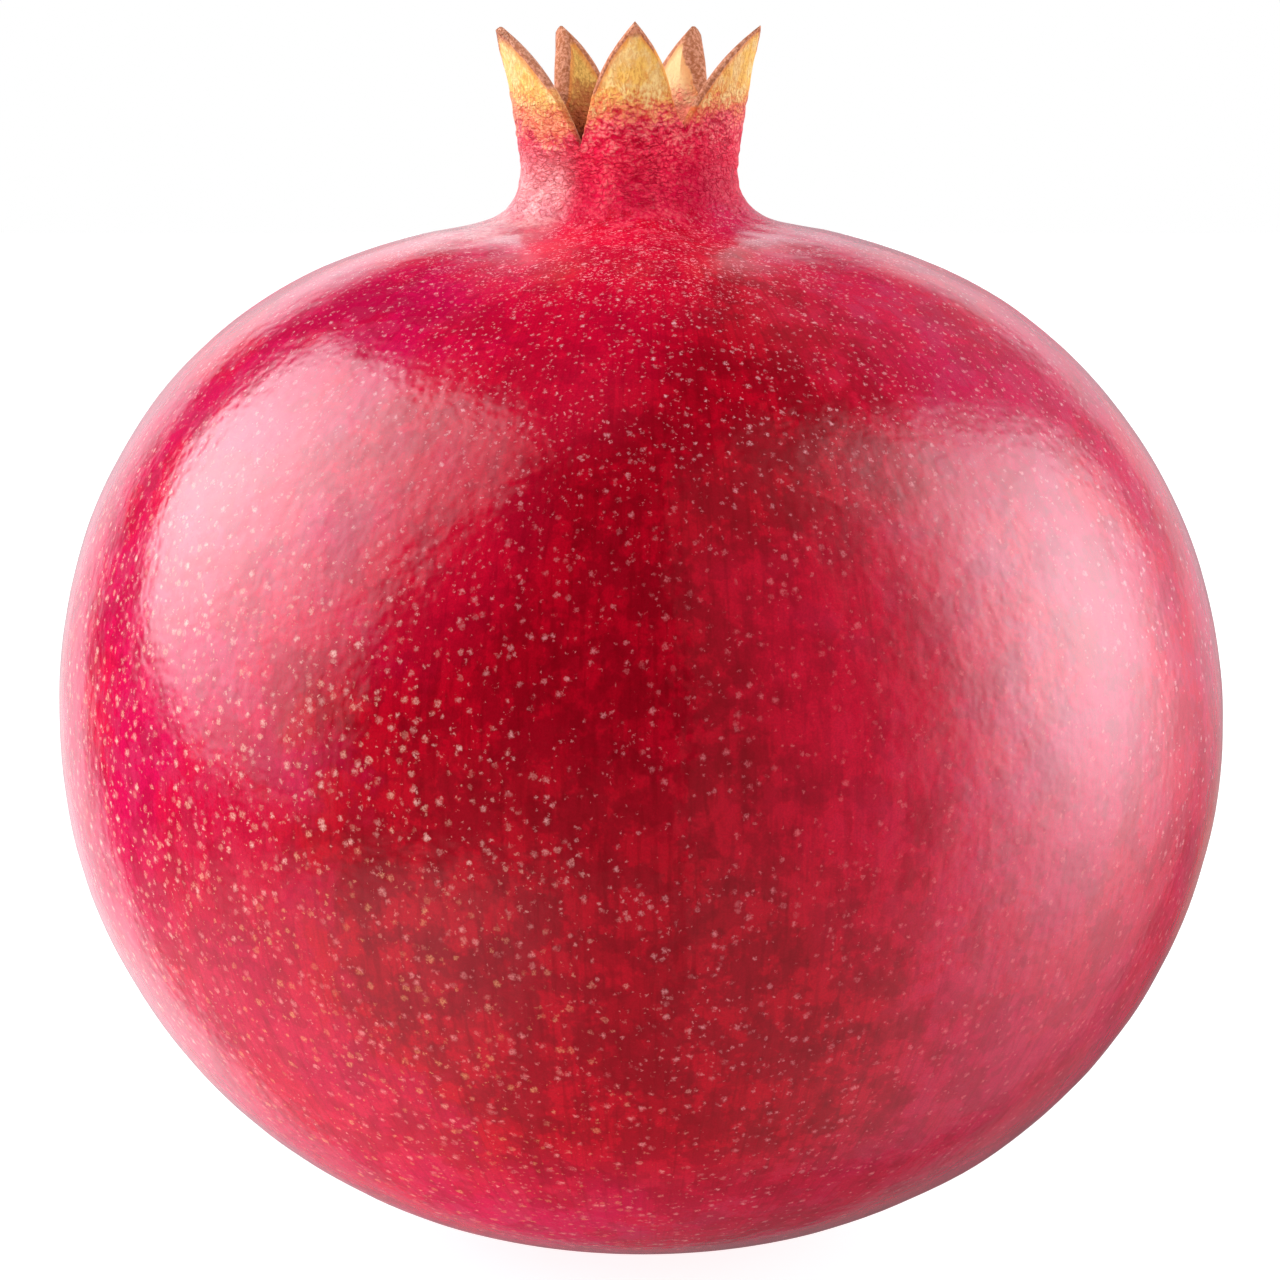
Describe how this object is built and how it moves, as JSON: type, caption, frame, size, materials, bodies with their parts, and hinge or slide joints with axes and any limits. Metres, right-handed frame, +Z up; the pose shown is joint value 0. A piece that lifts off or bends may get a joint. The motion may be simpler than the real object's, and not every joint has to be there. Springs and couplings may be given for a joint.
{
  "type": "pomegranate",
  "caption": "Whole ripe pomegranate with a glossy leathery rind, a short neck and an open pointed calyx crown, resting upright on its base.",
  "frame": {"origin": "centre of the small flat spot on the base that the fruit rests on", "axes": "+Z up along the fruit's axis towards the crown, -Y towards the front, +X to the right seen from the front"},
  "size_m": [0.0958, 0.0962, 0.1004],
  "materials": {
    "rind": "satin",
    "stamens": "matte",
    "stalk": "matte"
  },
  "bodies": {
    "root": {"rind_and_calyx": "rind", "stamens": "stamens", "stalk_stub": "stalk"}
  },
  "joints": []
}
